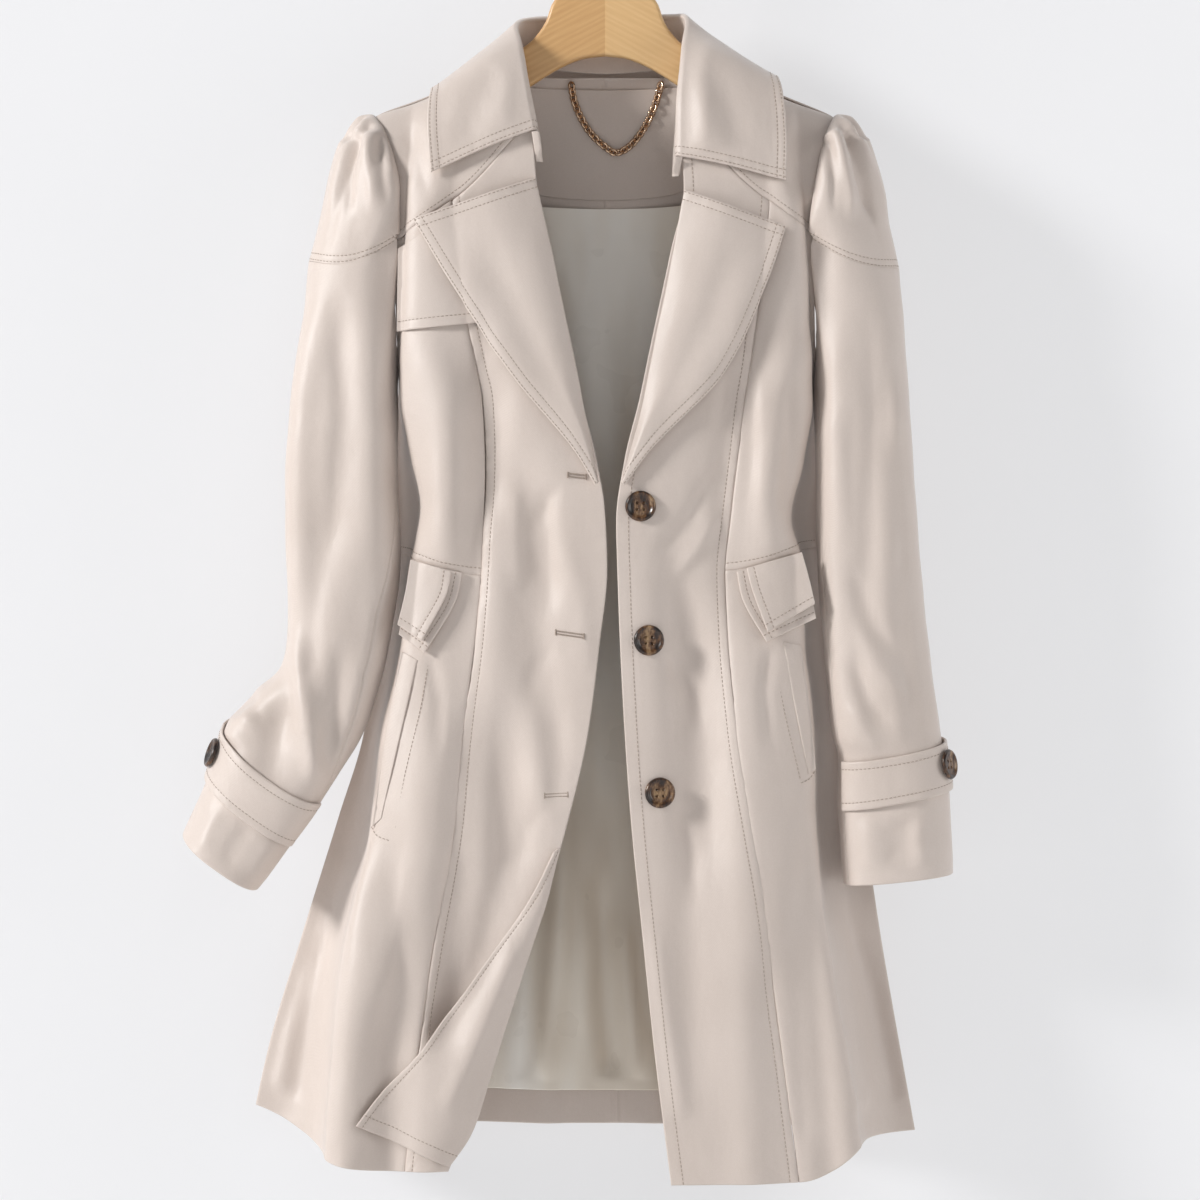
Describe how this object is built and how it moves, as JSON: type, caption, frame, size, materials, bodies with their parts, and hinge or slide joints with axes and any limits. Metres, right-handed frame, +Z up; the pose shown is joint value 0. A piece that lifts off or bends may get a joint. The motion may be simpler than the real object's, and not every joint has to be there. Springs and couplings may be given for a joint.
{
  "type": "trench coat on wooden hanger",
  "caption": "Open short trench coat with wide collar, lapels, storm flap, gathered sleeve heads and strapped cuffs, hanging on a wooden hanger.",
  "frame": {"origin": "inner top of the hanger's hook, where a rail carries it", "axes": "+Z up, the coat's front faces -Y, +X to the right of someone who looks at the front"},
  "size_m": [0.6366, 0.1211, 1.0698],
  "materials": {
    "coat_cloth": "matt cotton twill",
    "lining": "satin",
    "button_horn": "polished",
    "hanger_wood": "clear varnish",
    "hook_steel": "polished",
    "chain_brass": "polished"
  },
  "bodies": {
    "root": {"front_left": "coat_cloth", "front_right": "coat_cloth", "side_front_upper_left": "coat_cloth", "side_front_upper_right": "coat_cloth", "side_front_lower_left": "coat_cloth", "side_front_lower_right": "coat_cloth", "yoke_left": "coat_cloth", "yoke_right": "coat_cloth", "back_left": "coat_cloth", "back_right": "coat_cloth", "sleeve_cap_left": "coat_cloth", "sleeve_cap_right": "coat_cloth", "sleeve_upper_left": "coat_cloth", "sleeve_upper_right": "coat_cloth", "sleeve_under_left": "coat_cloth", "sleeve_under_right": "coat_cloth", "lapel_left": "coat_cloth", "lapel_right": "coat_cloth", "pocket_flap_under_left": "coat_cloth", "pocket_flap_under_right": "coat_cloth", "pocket_flap_upper_left": "coat_cloth", "pocket_flap_upper_right": "coat_cloth", "pocket_welt_left": "coat_cloth", "pocket_welt_right": "coat_cloth", "cuff_strap_left": "coat_cloth", "cuff_strap_right": "coat_cloth", "collar_fall": "coat_cloth", "collar_stand": "coat_cloth", "turned_corner": "coat_cloth", "storm_flap": "coat_cloth", "back_neck_facing": "coat_cloth", "back_lining": "lining", "front_button_1": "button_horn", "front_button_2": "button_horn", "front_button_3": "button_horn", "cuff_button_left": "button_horn", "cuff_button_right": "button_horn", "hanger": "hanger_wood", "hook": "hook_steel", "hang_chain": "chain_brass"}
  },
  "joints": []
}
